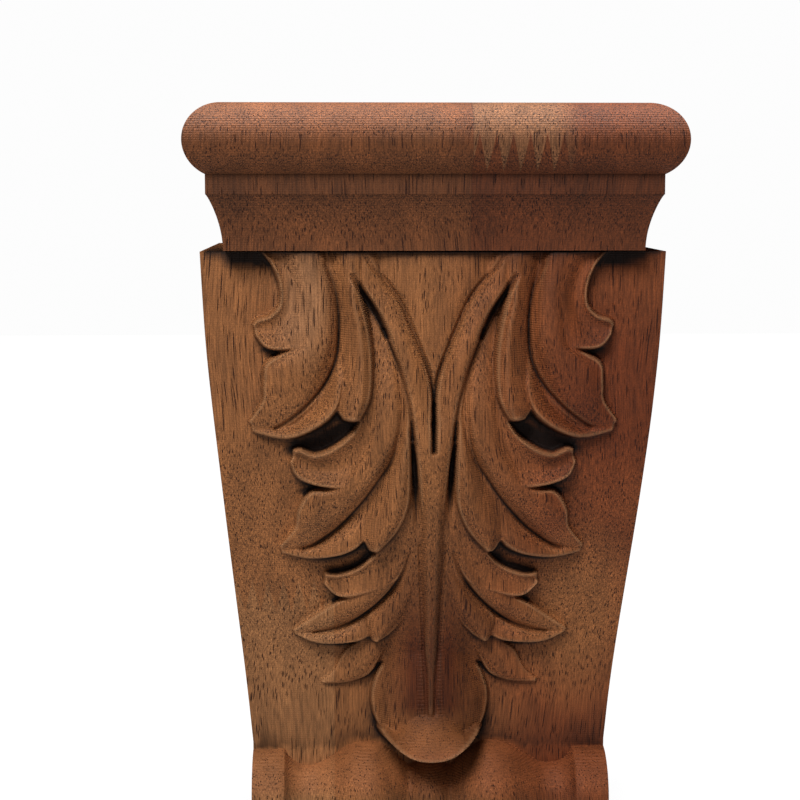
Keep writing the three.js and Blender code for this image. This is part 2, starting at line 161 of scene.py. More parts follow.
# %% Blades
BLADES = {
    "upper_hook": {
        "outer": [(42.5, 35), (39.5, 38.5), (37.5, 43.5), (37.5, 48.5), (40, 51.5), (43, 52.5),
                  (44, 53.5)],
        "inner": [(26.5, 35), (25, 42.5), (25, 48.5), (28.5, 55.5), (34, 59), (40.5, 59), (43.5, 56)],
        "relief": [(3.4, 3.2, 4.8, 5, 2.4), (3.6, 3, 4.9, 5.4, 2.4), (3.4, 2.8, 3.4, 4.2, 4.4),
                   (3.2, 2.8, 3, 3.4, 3.6)],
    },
    "upper_main": {
        "outer": [(32.5, 35), (32, 43.5), (32.5, 51), (33.5, 58.5), (37.5, 61), (41, 63.5), (41.5, 68),
                  (42, 72.5), (45.5, 77.5)],
        "inner": [(26.5, 35), (24.5, 43.5), (23.5, 50.5), (23.5, 56.5), (24.5, 62.5), (26.5, 68.5),
                  (30, 74.5), (36, 79), (44, 80)],
        "relief": [(3.6, 5, 5.2, 4.4, 2.2), (4, 5.5, 5.6, 4.6, 2), (4.2, 5.4, 5.6, 4.7, 2.1),
                   (4, 4.8, 4.6, 3.8, 1.8), (1.6, 1.7, 1.6, 1.5, 1.4)],
    },
    "upper_lobe": {
        "outer": [(26.5, 35), (24.5, 43.5), (23.5, 50), (23.5, 57), (24.5, 65), (24.5, 72.5), (22, 76.5)],
        "inner": [(17.5, 35), (18.2, 40.5), (18.4, 46), (16.5, 54), (15.5, 62.5), (16, 71), (18.5, 76.5)],
        "relief": [(2.4, 3.8, 4.8, 5, 4.6), (2, 3.8, 5.2, 6.2, 5), (2, 4.4, 6.2, 7.4, 5.8),
                   (6, 7.4, 8, 8, 6.6)],
    },
    "upper_under": {
        "outer": [(23.5, 56.5), (24.5, 62.5), (26.5, 68.5), (30, 74.5), (36, 79), (45, 79)],
        "inner": [(22, 60), (22.5, 66.5), (24, 73.5), (29, 78.5), (36.5, 81.5), (44.5, 80.2)],
        "relief": [(1.8, 2, 2.2, 2.4, 2.4), (1.8, 3, 4.6, 5.6, 6), (1.8, 2.8, 4, 4.8, 5),
                   (1.4, 1.5, 1.6, 1.6, 1.5)],
    },
    "middle_hook": {
        "outer": [(14, 67), (16.5, 74), (20, 80.5), (25, 84.5), (29.5, 86), (33, 84.7), (34.5, 85)],
        "inner": [(8, 79.5), (12, 88), (17, 92), (22, 94), (28.5, 93.5), (33.5, 91.5), (35.2, 88)],
        "relief": [(3, 3.4, 3.6, 3.4, 3), (4.8, 3.4, 3.2, 4.4, 5.4), (3.6, 2.6, 2.6, 3, 3.7)],
    },
    "middle_main": {
        "outer": [(16, 51.5), (15.5, 62), (16, 71.5), (17.5, 84), (24.5, 94), (30.5, 96), (33.5, 100.5),
                  (34.5, 105.5), (38.5, 110.5)],
        "inner": [(13, 51.5), (9.5, 60.5), (7.5, 71), (8, 80.5), (12, 90.5), (17, 98.5), (23.5, 105),
                  (30, 110), (38, 112)],
        "relief": [(0.4, 0.6, 0.8, 0.8, 0.6), (3, 4.4, 4.9, 4.8, 3.6), (3.8, 5.3, 5.7, 5.3, 3),
                   (3.8, 4.9, 5, 4.6, 2.2), (1.6, 1.7, 1.6, 1.5, 1.4)],
    },
    "middle_lobe": {
        "outer": [(9.4, 61), (8.2, 70), (7.8, 79), (10, 86.5), (13.5, 94), (16.5, 100), (18, 106),
                  (15.5, 111.2)],
        "inner": [(9, 61), (7, 70.5), (6, 79), (6, 86), (6, 93.5), (6.5, 99.5), (9, 105.5), (13.5, 111)],
        "relief": [(2.2, 2.2, 2.2, 2.2, 2.2), (3.2, 4, 4.6, 4.8, 4.2), (2.2, 4, 5.8, 6.6, 5.4),
                   (5, 6.2, 7, 7, 6)],
    },
    "middle_under": {
        "outer": [(13.5, 94), (18.5, 100.5), (23.5, 105), (30, 110), (38.2, 111.2)],
        "inner": [(14.5, 102), (17.5, 108.5), (22.5, 112), (31, 113.5), (38, 112.4)],
        "relief": [(1.8, 2.2, 2.6, 3, 3.2), (1.8, 3, 4.4, 5.2, 5.4), (1.4, 1.5, 1.6, 1.6, 1.5)],
    },
    "lower_hook": {
        "outer": [(6.4, 98.5), (8.7, 104.5), (12.5, 110.5), (17.5, 116), (23, 118.5), (27, 118.5)],
        "inner": [(5.6, 112), (9, 119.5), (14.5, 122.3), (20, 124), (24, 124), (27.2, 121)],
        "relief": [(2.6, 3.2, 3.6, 3.8, 3.8), (3.4, 3.2, 3.4, 4, 4.6), (3.2, 2.6, 2.6, 2.9, 3.4)],
    },
    "lower_main": {
        "outer": [(5.6, 101), (8.2, 111), (12.8, 119.5), (19.2, 123.8), (25, 127), (30, 130.5),
                  (35.5, 134.3)],
        "inner": [(4.2, 105), (5.8, 113.5), (9.4, 121.5), (14, 127.5), (21.5, 132.5), (29, 135),
                  (35.2, 135.5)],
        "relief": [(3, 3.4, 3.6, 3.6, 3.2), (3.6, 4.6, 4.8, 4.2, 2.1), (1.6, 1.7, 1.6, 1.5, 1.4)],
    },
    "lower_lobe": {
        "outer": [(4.4, 106), (5.9, 114.5), (9.3, 121.8), (13.5, 126.5), (16.5, 131.5), (15, 136.7)],
        "inner": [(3.4, 107), (3.4, 115), (4.3, 122.5), (6.4, 129.3), (10, 134), (13.5, 136.7)],
        "relief": [(2.4, 2.8, 3.2, 3.4, 3.4), (2, 3.8, 5, 5.2, 4.4), (4.4, 5.4, 6, 6, 5)],
    },
    "lower_under": {
        "outer": [(12, 125), (17.5, 130), (24, 133), (30.5, 135), (35.4, 134.7)],
        "inner": [(12, 132.5), (17.5, 136.5), (23.5, 137.5), (30, 137.5), (35, 135.6)],
        "relief": [(1.8, 2.2, 2.5, 2.8, 2.9), (1.8, 2.8, 3.8, 4.6, 4.7), (1.4, 1.5, 1.6, 1.6, 1.5)],
    },
    "foot_leaflet": {
        "outer": [(6, 127), (11, 134), (17.5, 137.5), (22, 140.5), (25, 146), (28.5, 149)],
        "inner": [(5, 129), (9, 135), (13, 142), (16.5, 147.5), (22.5, 149.5), (28, 149.8)],
        "relief": [(1.4, 1.6, 1.8, 1.9, 2), (1.5, 2, 2.5, 2.7, 2.2), (0.7, 0.9, 1.1, 1.1, 0.9)],
    },
    "stem": {
        "outer": [(17.5, 35), (18, 43.5), (15, 49), (11.5, 56), (8.5, 64.5), (7, 72), (6, 79)],
        "inner": [(14.5, 35), (12, 43), (8, 48), (5.5, 54), (3, 61), (1, 69), (0.6, 77.5)],
        "relief": [(4.4, 4.6, 4.4, 4, 3.4), (4.8, 5.4, 5.2, 4.6, 3.4), (5.2, 6.4, 6.4, 5.6, 4.2),
                   (4.8, 5.2, 5.2, 5, 4.8)],
    },
    "rib": {
        "outer": [(7, 71.5), (6, 79), (4, 87), (3, 97), (2.5, 113.5), (1.6, 136), (1.1, 157)],
        "inner": [(1, 71.5), (0.9, 78), (-0.3, 87), (-0.3, 97), (-0.3, 113.5), (-0.3, 136), (-0.3, 157)],
        "relief": [(4, 4.6, 4.8, 4.5, 4.2), (5, 5.7, 6.2, 6.3, 6.2), (4.7, 5.5, 6.2, 6.4, 6.3),
                   (9.2, 9.6, 9.9, 10, 10)],
    },
    "heart": {
        "outer": [(14.5, 35), (12, 43), (8, 48), (5.5, 54), (3, 61), (1, 69), (0.2, 76.5)],
        "inner": [(-0.3, 35), (-0.3, 43), (-0.3, 48), (-0.3, 54), (-0.3, 61), (-0.3, 69), (-0.3, 76.5)],
        "relief": [(3.2, 4, 4.3, 4.3, 4.3), (3.4, 4.2, 4.5, 4.5, 4.5), (3.6, 4, 4.2, 4.2, 4.2),
                   (1.5, 1.5, 1.5, 1.5, 1.5)],
    },
    "spine": {
        "outer": [(8.6, 91.5), (10.6, 98), (13, 105), (11.5, 113), (9.6, 121), (10.8, 129.5), (13, 137),
                  (14.3, 144)],
        "inner": [(-0.3, 91.5), (-0.3, 98), (-0.3, 105), (-0.3, 113), (-0.3, 121), (-0.3, 129.5),
                  (-0.3, 137), (-0.3, 144)],
        "relief": [(1.2, 1.6, 2, 2, 2), (2.2, 2.9, 3.5, 3.8, 3.8), (2.4, 3.6, 4.2, 4.4, 4.4),
                   (2.2, 3.8, 5.2, 5.8, 5.8), (0.6, 2.4, 4.8, 6.5, 7)],
    },
    "tongue": {
        "outer": [(5, 127.5), (9, 136), (12.4, 144), (15, 151.5), (14.4, 157.5), (12.2, 161.5), (9, 164)],
        "inner": [(-0.3, 122), (-0.3, 135), (-0.3, 144), (-0.3, 152), (-0.3, 158.5), (-0.3, 161.5),
                  (-0.3, 164)],
        "relief": [(1, 1.6, 2, 2.4, 2.8), (2, 4.8, 6.8, 7.8, 8.2), (4, 7, 8.8, 9.4, 9.5),
                   (7.6, 8.9, 9.4, 9.5, 9.5)],
    },
    "lip": {
        "outer": [(-0.3, 155.8), (2.6, 156.4), (5.2, 158), (7.6, 160.2), (9.6, 162), (11.6, 162.3)],
        "inner": [(-0.3, 166), (3, 165.8), (6, 164.8), (8.6, 163.2), (10.6, 161.9), (12.1, 160.9)],
        "relief": [(9.5, 11.2, 13.6, 16.2, 18.6), (9.5, 11.1, 13.4, 16, 18.4), (9.5, 10.9, 13, 15.5, 17.8),
                   (9.6, 10.8, 12.6, 14.6, 16.6), (9.8, 10.6, 11.8, 13, 14.2), (10, 10.3, 10.6, 10.9, 11)],
    },
}
print(len(BLADES), "blades on each side of the centre line")

# %% [markdown]
# Some blades have a rim that curls up. More columns of relief could hold it, but a narrow bead along
# the edge takes two numbers: its height at the outer edge and at the inner edge.

# %% Beads
BEAD_WIDTH = 0.6
BEADS = {
    "upper_hook": (0.6, 0.2), "upper_main": (0.4, 0), "middle_hook": (0.3, 0.2),
    "middle_main": (0.3, 0), "lower_hook": (0.2, 0.3), "lower_main": (0.2, 0),
    "upper_lobe": (0, 0.2), "middle_lobe": (0, 0.2), "lower_lobe": (0, 0.2),
}
print("rims curl up on", len(BEADS), "blades")

# %% [markdown]
# ## Veins and slits
# Between the blades run creases, cut last with the point of a fine bit. Each is a line of (across,
# down) with the depth of the cut at its start, middle and end, and half its width at the surface.
# They could be left to the blades' edges, but a line of their own keeps them thin, and its depth
# sets the painted shade that darkens them.

# %% Veins
VEINS = [
    ([(26.6, 38.6), (24.4, 44.5), (23.5, 50), (23.4, 55), (24, 62), (26.8, 68.2), (31.2, 73.4),
      (35.6, 77.1), (39.1, 79.4)], (0.7, 1.5, 0.9), 0.75),
    ([(19.8, 41.6), (17.4, 45.7), (15.2, 49.1), (13.2, 52.6), (11.5, 56.5)], (1.2, 3.6, 1.8), 1.2),
    ([(12.2, 54.8), (9.8, 60.9), (8.4, 64.9), (6.9, 70.5), (5.8, 75.8), (5.2, 82.1)],
     (1.6, 1.4, 1.8), 0.8),
    ([(5.4, 78), (5, 83), (4.7, 88), (4.5, 93), (4.3, 99), (4, 106)], (0.8, 3.2, 0.2), 1),
    ([(0, 73.5), (0, 77), (0, 81), (0, 85)], (1.5, 4, 3), 0.9),
    ([(16.6, 37.2), (14.9, 39.9), (11.4, 43.3), (8.4, 47.7), (5.7, 53.8), (3.2, 59.9), (1.3, 64.9),
      (0.3, 69.6), (0, 75)], (0.7, 1.3, 1.4), 0.8),
    ([(8.1, 75), (9, 81.5), (10.5, 87.7), (13.6, 92.7), (16.7, 97.4), (20.2, 101.7), (24.3, 106.1),
      (29.4, 109.9), (33, 111.6)], (0.2, 1.4, 1), 0.75),
    ([(5.5, 112.4), (7.5, 118.3), (10.8, 123.4), (15.4, 128.4), (20.3, 132.2), (25.5, 134.4),
      (30.2, 135.2)], (0.7, 1.4, 1), 0.7),
    ([(19.9, 149.2), (18, 148.6), (15.6, 147.5), (14, 145.8), (12.5, 143.9)], (0.4, 1.2, 1.2), 0.7),
    ([(23.9, 138.9), (22.3, 138.6), (20.8, 138)], (1.4, 1.6, 1.2), 0.8),
    ([(3.2, 110), (2.9, 120), (2.3, 132), (1.7, 144), (1.1, 156)], (0.7, 0.6, 0.5), 0.6),
]
print(len(VEINS), "creases on each side")

# %% [markdown]
# Deep pockets lie between the blades, where shade falls, and their floors are painted near black.
# The blades' walls make the pocket. Here each is a line with half its width, to be painted dark.

# %% Pockets
POCKETS = [
    ([(34.1, 84.3), (30.1, 83.8), (26.1, 82), (22.6, 80.2), (19.7, 78.5)], 2.6),
    ([(25.4, 118.7), (22.1, 117.6), (18.7, 116.2), (15.9, 113.7)], 1.6),
    ([(41.3, 59.9), (37.3, 60.4), (33.6, 59)], 1.2),
    ([(31.8, 96.1), (27.7, 94.8)], 1.2),
    ([(24.9, 126.2), (22.1, 126.5), (19.2, 126.3)], 0.9),
    ([(50, 37), (45, 37.5), (37.6, 38.3)], 1.7),
]
print(len(POCKETS), "burnt pockets on each side")

# %% [markdown]
# ## Routing the front
# The front is worked out as a height map, as the router's program has it: how far the wood stands
# forward at every spot. The halves of the leaf are mirror images, so the map holds one of them, and
# a narrow margin of the other.

# %% Empty map
CELL = 0.1
MAP_LEFT = -2
MAP_RIGHT = 60
MAP_TOP = 33
MAP_BOTTOM = 172

map_x = np.arange(MAP_LEFT, MAP_RIGHT + CELL, CELL)
map_d = np.arange(MAP_TOP, MAP_BOTTOM + CELL, CELL)
ground = np.repeat(body_front(map_d)[:, None], len(map_x), axis=1)
print("map of", ground.shape[0], "by", ground.shape[1], "cells")


def cell_at(across, down):
    """The row and the column of the map at a spot."""
    row = np.round((down - MAP_TOP) / CELL).astype(int)
    return row, np.round((across - MAP_LEFT) / CELL).astype(int)


def shifted(field, rows, columns):
    """The field moved by whole cells, with its border repeated."""
    reach = max(abs(rows), abs(columns), 1)
    padded = np.pad(field, reach, mode="edge")
    height, width = field.shape
    return padded[reach + rows:reach + rows + height, reach + columns:reach + columns + width]


# %% [markdown]
# Each blade is sampled more closely than the map, and where blades cross, the highest wins.

# %% Blades on the map
SAMPLE = 0.07
ROUGH_SAMPLES = 60


def blade_surface(name):
    """Across, down and forward of points all over one blade."""
    shape = BLADES[name]
    rough = spline(shape["outer"], np.linspace(0, 1, ROUGH_SAMPLES))
    other = spline(shape["inner"], np.linspace(0, 1, ROUGH_SAMPLES))
    length = max(np.abs(np.diff(e, axis=0)).sum() for e in (rough, other))
    breadth = np.hypot(*(rough - other).T)
    u = np.linspace(0, 1, int(length / SAMPLE) + 2)
    v = np.linspace(0, 1, int(breadth.max() / SAMPLE) + 2)
    outer = spline(shape["outer"], u)
    inner = spline(shape["inner"], u)
    spot = outer[:, None] * (1 - v)[None, :, None] + inner[:, None] * v[None, :, None]
    rows = spline(shape["relief"], u)
    rise = spline(rows.T, v).T
    wide = np.hypot(*(outer - inner).T)[:, None]
    near_outer, near_inner = BEADS.get(name, (0, 0))
    rise = rise + near_outer * np.exp(-((v * wide / BEAD_WIDTH) ** 2))
    rise = rise + near_inner * np.exp(-(((1 - v) * wide / BEAD_WIDTH) ** 2))
    return spot[..., 0], spot[..., 1], body_front(spot[..., 1]) + rise


relief = ground.copy()
for name in BLADES:
    across, down, forward = blade_surface(name)
    row, column = cell_at(across, down)
    inside = (column >= 0) & (column < len(map_x)) & (row >= 0) & (row < len(map_d))
    np.maximum.at(relief, (row[inside], column[inside]), forward[inside])
print("blades stand up to", round(float((relief - ground).max()), 1), "mm off the body")

# %% [markdown]
# A tapered bit can't leave a plumb wall, so every drop is given the slope of the bit, a millimetre
# across for each 4.5 mm down.

# %% Slope of the bit
BIT_SLOPE = 4.5
TALLEST_WALL = 6
NEIGHBOURS = [(a, b) for a in (-1, 0, 1) for b in (-1, 0, 1) if (a, b) != (0, 0)]
for _ in range(int(TALLEST_WALL / BIT_SLOPE / CELL)):
    for a, b in NEIGHBOURS:
        drop = BIT_SLOPE * CELL * math.hypot(a, b)
        relief = np.maximum(relief, shifted(relief, a, b) - drop)
print("the leaf covers", round(float((relief > ground).mean()), 2), "of the map")

# %% [markdown]
# The creases are cut into the blades. A cut is deepest along its line, and it never goes more than a
# little into the ground.

# %% Creases
VEIN_SAMPLES = 600
CUT_SIDES = 1.2
INTO_GROUND = 0.3


def cells_near(line, reach, samples):
    """Rows and columns of the cells round samples of a line, and how far each is from its sample."""
    centre = spline(line, np.linspace(0, 1, samples))
    row, column = cell_at(centre[:, 0], centre[:, 1])
    for a in range(-reach, reach + 1):
        for b in range(-reach, reach + 1):
            r = np.clip(row + a, 0, len(map_d) - 1)
            c = np.clip(column + b, 0, len(map_x) - 1)
            yield r, c, np.hypot(map_x[c] - centre[:, 0], map_d[r] - centre[:, 1])


all_cuts = np.zeros_like(relief)
for line, depths, half_width in VEINS:
    depth = spline([(v,) for v in depths], np.linspace(0, 1, VEIN_SAMPLES))[:, 0]
    cut = np.zeros_like(relief)
    for r, c, away in cells_near(line, int(half_width / CELL) + 2, VEIN_SAMPLES):
        np.maximum.at(cut, (r, c), depth * np.clip(1 - away / half_width, 0, 1) ** CUT_SIDES)
    all_cuts = np.maximum(all_cuts, cut)
    relief = np.maximum(relief - cut, np.minimum(relief, ground - INTO_GROUND))
print("creases are up to", round(float(all_cuts.max()), 1), "mm deep")

# %% [markdown]
# The bit's round end can't cut a sharp inside corner, so hollows are closed with a small ball.

# %% Round bottoms
BIT_RADIUS = 0.3
ball_cells = int(BIT_RADIUS / CELL)
BALL = [(a, b, math.sqrt(max(BIT_RADIUS**2 - (a * a + b * b) * CELL**2, 0)))
        for a in range(-ball_cells, ball_cells + 1) for b in range(-ball_cells, ball_cells + 1)
        if math.hypot(a, b) * CELL <= BIT_RADIUS]
swept = np.max([shifted(relief, a, b) + rise for a, b, rise in BALL], axis=0)
relief = np.min([shifted(swept, a, b) - rise for a, b, rise in BALL], axis=0)
print("the ball touches", len(BALL), "cells")

# %% [markdown]
# Last, a light smoothing takes the razor edge off, as the sanding mop does. The margin is made the
# mirror image of its other side, so the two halves meet without a step.

# %% Sanding
CENTRE = round(-MAP_LEFT / CELL)
SOFTEN = np.array([1, 4, 6, 4, 1]) / 16
relief[:, :CENTRE] = relief[:, 2 * CENTRE:CENTRE:-1]
for axis in (0, 1, 0, 1):
    steps = [(k - 2, 0) if axis == 0 else (0, k - 2) for k in range(5)]
    relief = sum(weight * shifted(relief, *step) for weight, step in zip(SOFTEN, steps))
relief[:, :CENTRE] = relief[:, 2 * CENTRE:CENTRE:-1]
print("leaf stands up to", round(float((relief - ground).max()), 1), "mm off the body")


def read_map(field, across, down):
    """A map read between its cells."""
    x = np.clip((np.abs(across) - MAP_LEFT) / CELL, 0, len(map_x) - 1.001)
    y = np.clip((down - MAP_TOP) / CELL, 0, len(map_d) - 1.001)
    i, j = y.astype(int), x.astype(int)
    p, q = y - i, x - j
    top = field[i, j] * (1 - q) + field[i, j + 1] * q
    low = field[i + 1, j] * (1 - q) + field[i + 1, j + 1] * q
    return top * (1 - p) + low * p


def carved_front(across, down):
    return read_map(relief, across, down)


# %% [markdown]
# ## The body and the foot
# The body could be a box with a displaced front, but the roll at its foot turns under, where a
# height map fails. So the front is a sheet of rows: they go straight down as far as the neck, crowd
# together above the roll, and from there each one is a step round the roll.

# %% Front sheet
SHEET_STEP = 0.2
NECK_FROM = 158
NECK_ROWS = 40
NECK_CROWDING = 1.4
ROLL_ROWS = 84
MAP_END = MAP_BOTTOM - 1

columns = int(2 * HALF_WIDTHS[0][1] / SHEET_STEP)
side_steps = np.linspace(-1, 1, columns + 1)
level_rows = np.arange(BODY_TOP, NECK_FROM, SHEET_STEP)

front_x = [side_steps * body_half(d) for d in level_rows]
front_d = [np.full(columns + 1, d) for d in level_rows]
front_f = [carved_front(x, d) for x, d in zip(front_x, front_d)]
foot_x = side_steps * body_half(TAPER_END)
radius = roll_radius(foot_x)
start_angle = np.arccos((NECK_FRONT - ROLL_CENTRE_FRONT) / radius)
meet = ROLL_CENTRE_DOWN - radius * np.sin(start_angle)
for i in range(NECK_ROWS):
    d = NECK_FROM + (meet - NECK_FROM) * (1 - (1 - i / NECK_ROWS) ** NECK_CROWDING)
    x = side_steps * body_half(d)
    front_x.append(x)
    front_d.append(d)
    front_f.append(carved_front(x, d))
for i in range(ROLL_ROWS + 1):
    angle = start_angle - (start_angle + math.pi / 2) * i / ROLL_ROWS
    d = np.minimum(ROLL_CENTRE_DOWN - radius * np.sin(angle), HEIGHT)
    f = ROLL_CENTRE_FRONT + radius * np.cos(angle)
    front_x.append(foot_x)
    front_d.append(d)
    front_f.append(np.maximum(f, np.where(d < MAP_END, carved_front(foot_x, d), 0)))
front_x, front_d, front_f = (np.array(a) for a in (front_x, front_d, front_f))
rows = len(front_x)
print("front sheet of", rows, "by", columns + 1, "points")

# %% [markdown]
# The sheet is closed with plain sides, ends and a flat back against the wall, all made from its own
# outermost points, so nothing has to be welded.

# %% Body shell
def mesh_from(name, points, faces, smooth=True):
    """A mesh object from points in millimetres, as across, depth and up."""
    mesh = bpy.data.meshes.new(name)
    mesh.from_pydata((np.asarray(points) * MM).tolist(), [], faces)
    mesh.validate()
    mesh.update()
    piece = bpy.data.objects.new(name, mesh)
    bpy.context.scene.collection.objects.link(piece)
    for polygon in mesh.polygons:
        polygon.use_smooth = smooth
    return piece


sheet = np.stack([front_x, -front_f, TOP - front_d], axis=-1)
back_left = sheet[:, 0] * (1, 0, 1)
back_right = sheet[:, -1] * (1, 0, 1)
points = [sheet.reshape(-1, 3), back_left, back_right]
width = columns + 1
left_base = rows * width
right_base = left_base + rows
last_left = left_base + rows - 1
faces = []
for r in range(rows - 1):
    base = r * width
    faces += [(base + c, base + width + c, base + width + c + 1, base + c + 1) for c in range(columns)]
    faces.append((left_base + r, left_base + r + 1, base + width, base))
    faces.append((base + columns, base + width + columns, right_base + r + 1, right_base + r))
faces.append([left_base, *range(width), right_base])
faces.append([right_base + rows - 1, *range(rows * width - 1, (rows - 1) * width - 1, -1), last_left])
faces.append([*range(last_left, left_base - 1, -1), *range(right_base, right_base + rows)])
body = mesh_from("body_and_foot", np.concatenate(points), faces)
print("body sheet has", len(body.data.polygons), "faces")

# %% [markdown]
# ## Fewer faces where nothing happens
# The sheet is as fine on the plain ground as on the leaf. Collapsing its shortest and flattest
# edges keeps the detail where the surface bends and spends little elsewhere.

# %% Collapse
BODY_FACES = 150000
collapse = body.modifiers.new("collapse", "DECIMATE")
collapse.ratio = BODY_FACES / sum(len(p.vertices) - 2 for p in body.data.polygons)
print("collapse to a share of", round(collapse.ratio, 3))
bpy.context.view_layer.objects.active = body
body.select_set(True)
bpy.ops.object.modifier_apply(modifier=collapse.name)
body.data.polygons.foreach_set("use_smooth", [True] * len(body.data.polygons))

# %% [markdown]
# The few very long edges left near the front are halved, or the shades kept on them would smear.

# %% Long edges
LONGEST = 2.2
NEAR_FRONT = 30
HALVINGS = 3
MOST_CORNERS = 9
shell = bmesh.new()
shell.from_mesh(body.data)
for _ in range(HALVINGS):
    too_long = [e for e in shell.edges
                if e.calc_length() > LONGEST * MM and all(v.co.y < -NEAR_FRONT * MM for v in e.verts)]
    bmesh.ops.subdivide_edges(shell, edges=too_long, cuts=1)
    bmesh.ops.triangulate(shell, faces=[f for f in shell.faces if 3 < len(f.verts) < MOST_CORNERS])
shell.to_mesh(body.data)
shell.free()
print("after the collapse the body has", len(body.data.polygons), "faces")

# %% [markdown]
# Smooth shading would round the arrises, so they are marked as sharp.

# %% Arrises
def crisp(piece, angle):
    """Marks the arrises where two faces turn by more than an angle, in degrees."""
    piece.data.set_sharp_from_angle(angle=math.radians(angle))


crisp(body, 50)
print("sharp edges on the body:", sum(e.use_edge_sharp for e in body.data.edges))

# %% [markdown]
# ## Painted shade and painted highlight
# Shade that falls into narrow cuts and hollows is painted dark into the colour, and light that
# catches the high edges is painted pale. Both follow from the height map. A spot is shaded if the
# blurred map a little above it, where the light comes from, stands over it, and highlighted if it
# stands over the blurred map. The shades are painted on the mesh, one number at each of its corners.

# %% Hollows and edges
CUT_SHARE, CUT_START, CUT_DEPTH = 0.85, 0.2, 2.2
# Share, blur in mm, cells towards the light, mm under the blur where it starts, mm till it is full
SHADES = [(0.5, 1.2, 6, 0.3, 0.8), (0.55, 3.6, 12, 1.2, 1.3)]
EDGE_BLUR, EDGE_START, EDGE_HEIGHT = 0.9, 0.05, 0.3


def blurred(field, size):
    """The field averaged three times over squares of a size in millimetres."""
    cells = max(int(size / CELL / 2), 1)
    for axis in (0, 1) * 3:
        wide = [(0, 0), (0, 0)]
        wide[axis] = (cells + 1, cells)
        total = np.cumsum(np.pad(field, wide, mode="edge"), axis=axis)
        end = np.take(total, range(2 * cells + 1, total.shape[axis]), axis=axis)
        start = np.take(total, range(0, total.shape[axis] - 2 * cells - 1), axis=axis)
        field = (end - start) / (2 * cells + 1)
    return field


stands = relief - ground
# Painted shade in the creases and under the blades, where shade falls.
hollow_shade = CUT_SHARE * np.clip((all_cuts - CUT_START) / CUT_DEPTH, 0, 1)
for share, blur, towards_light, start, full in SHADES:
    over = shifted(blurred(stands, blur), -towards_light, 0) - stands
    hollow_shade += share * np.clip((over - start) / full, 0, 1)
# Painted highlight on the high edges, where the light catches them.
edge = np.clip((stands - blurred(stands, EDGE_BLUR) - EDGE_START) / EDGE_HEIGHT, 0, 1)
print("share of the map in hollows:", round(float((hollow_shade > 0.5).mean()), 3))

# %% [markdown]
# The painted shadow fades a little past the pocket's half width, and leaves alone what stands over its
# floor.

# %% Pockets in painted shadow
POCKET_SAMPLES = 400
POCKET_REACH = 1.3
POCKET_DARK, POCKET_FADE = 2.2, 1.7
FLOOR_TOP, FLOOR_SOFT = 2.6, 1.2


def distance_to(line, reach):
    """How far each cell of the map is from a line, up to a reach."""
    field = np.full_like(relief, reach)
    for r, c, away in cells_near(line, int(reach / CELL), POCKET_SAMPLES):
        np.minimum.at(field, (r, c), away)
    return field


# Painted shadow, near black, on the floors of the pockets.
for line, half_width in POCKETS:
    away = distance_to(line, POCKET_REACH * half_width) / half_width
    shaded = np.clip(POCKET_DARK - POCKET_FADE * away, 0, 1)
    hollow_shade = np.maximum(hollow_shade, shaded * np.clip((FLOOR_TOP - stands) / FLOOR_SOFT, 0, 1))
print("and with the pockets:", round(float((hollow_shade > 0.5).mean()), 3))

# %% [markdown]
# The shades are read from the map at each corner of the mesh. Two more are added: a dark line of
# painted shadow where the body meets the cap, and a soft dark band just above the roll.

# %% Shades on the body
UNDER_CAP = 1.1
ROLL_SHADE = 0.7
ROLL_FADE = 6
ROLL_CLEAR = 0.15


def keep_on(piece, name, values):
    """Keeps a value from 0 to 1 at each corner of a mesh."""
    kept = piece.data.attributes.new(name, "FLOAT", "POINT")
    kept.data.foreach_set("value", np.clip(values, 0, 1))


at = np.array([v.co for v in body.data.vertices]) / MM
at_down = TOP - at[:, 2]
on_front = (at[:, 1] < -NEAR_FRONT) & (at_down < MAP_BOTTOM - 4)
on_front &= np.abs(at[:, 0]) < body_half(at_down) - 0.05
# Painted shade from the map and a painted shadow under the cap, with a dark band above the roll.
shade = read_map(hollow_shade, at[:, 0], at_down) + np.exp(-(np.abs(at_down - BODY_TOP) / UNDER_CAP))
above_roll = np.interp(at[:, 0], foot_x, meet) - at_down
shade += ROLL_SHADE * np.exp(-np.clip(above_roll, 0, None) / ROLL_FADE) * (above_roll > ROLL_CLEAR)
keep_on(body, "hollow_shade", np.where(on_front, shade, 0))
keep_on(body, "edge", np.where(on_front, read_map(edge, at[:, 0], at_down), 0))
print("corners in hollows:", int((on_front & (shade > 0.5)).sum()))

# %% [markdown]
# ## The cap
# The cap's moulding is a bullnose, a square fillet and a cove, and it returns round both
# sides with mitred corners. It could be a profile swept along a path, but a stack of
# rectangles, each as far out as its level of the moulding, gives the mitres for nothing.

# %% Cap levels
NOSE_LEVELS = 34
COVE_LEVELS = 20
HAIR = 0.001


def cap_setback(down):
    if down < FILLET_TOP:
        rise = NOSE_RADIUS - down
        return NOSE_RADIUS - math.sqrt(max(NOSE_RADIUS**2 - rise**2, 0))
    if down < FILLET_BOTTOM:
        return FILLET_SETBACK
    fall = min((down - FILLET_BOTTOM) / (CAP_BOTTOM - FILLET_BOTTOM), 1)
    return FILLET_SETBACK + (COVE_SETBACK - FILLET_SETBACK) * math.sin(fall * math.pi / 2) ** 0.8


nose_angles = np.linspace(-90, math.degrees(math.asin(FILLET_TOP / NOSE_RADIUS - 1)), NOSE_LEVELS)
levels = [NOSE_RADIUS * (1 + math.sin(math.radians(a))) for a in nose_angles]
levels += [FILLET_TOP + HAIR, *np.linspace(FILLET_TOP + 1, FILLET_BOTTOM - HAIR, 4)]
levels += [FILLET_BOTTOM + (CAP_BOTTOM - FILLET_BOTTOM) * (i / COVE_LEVELS) ** 1.5
           for i in range(COVE_LEVELS + 1)]
print("moulding of", len(levels), "levels")

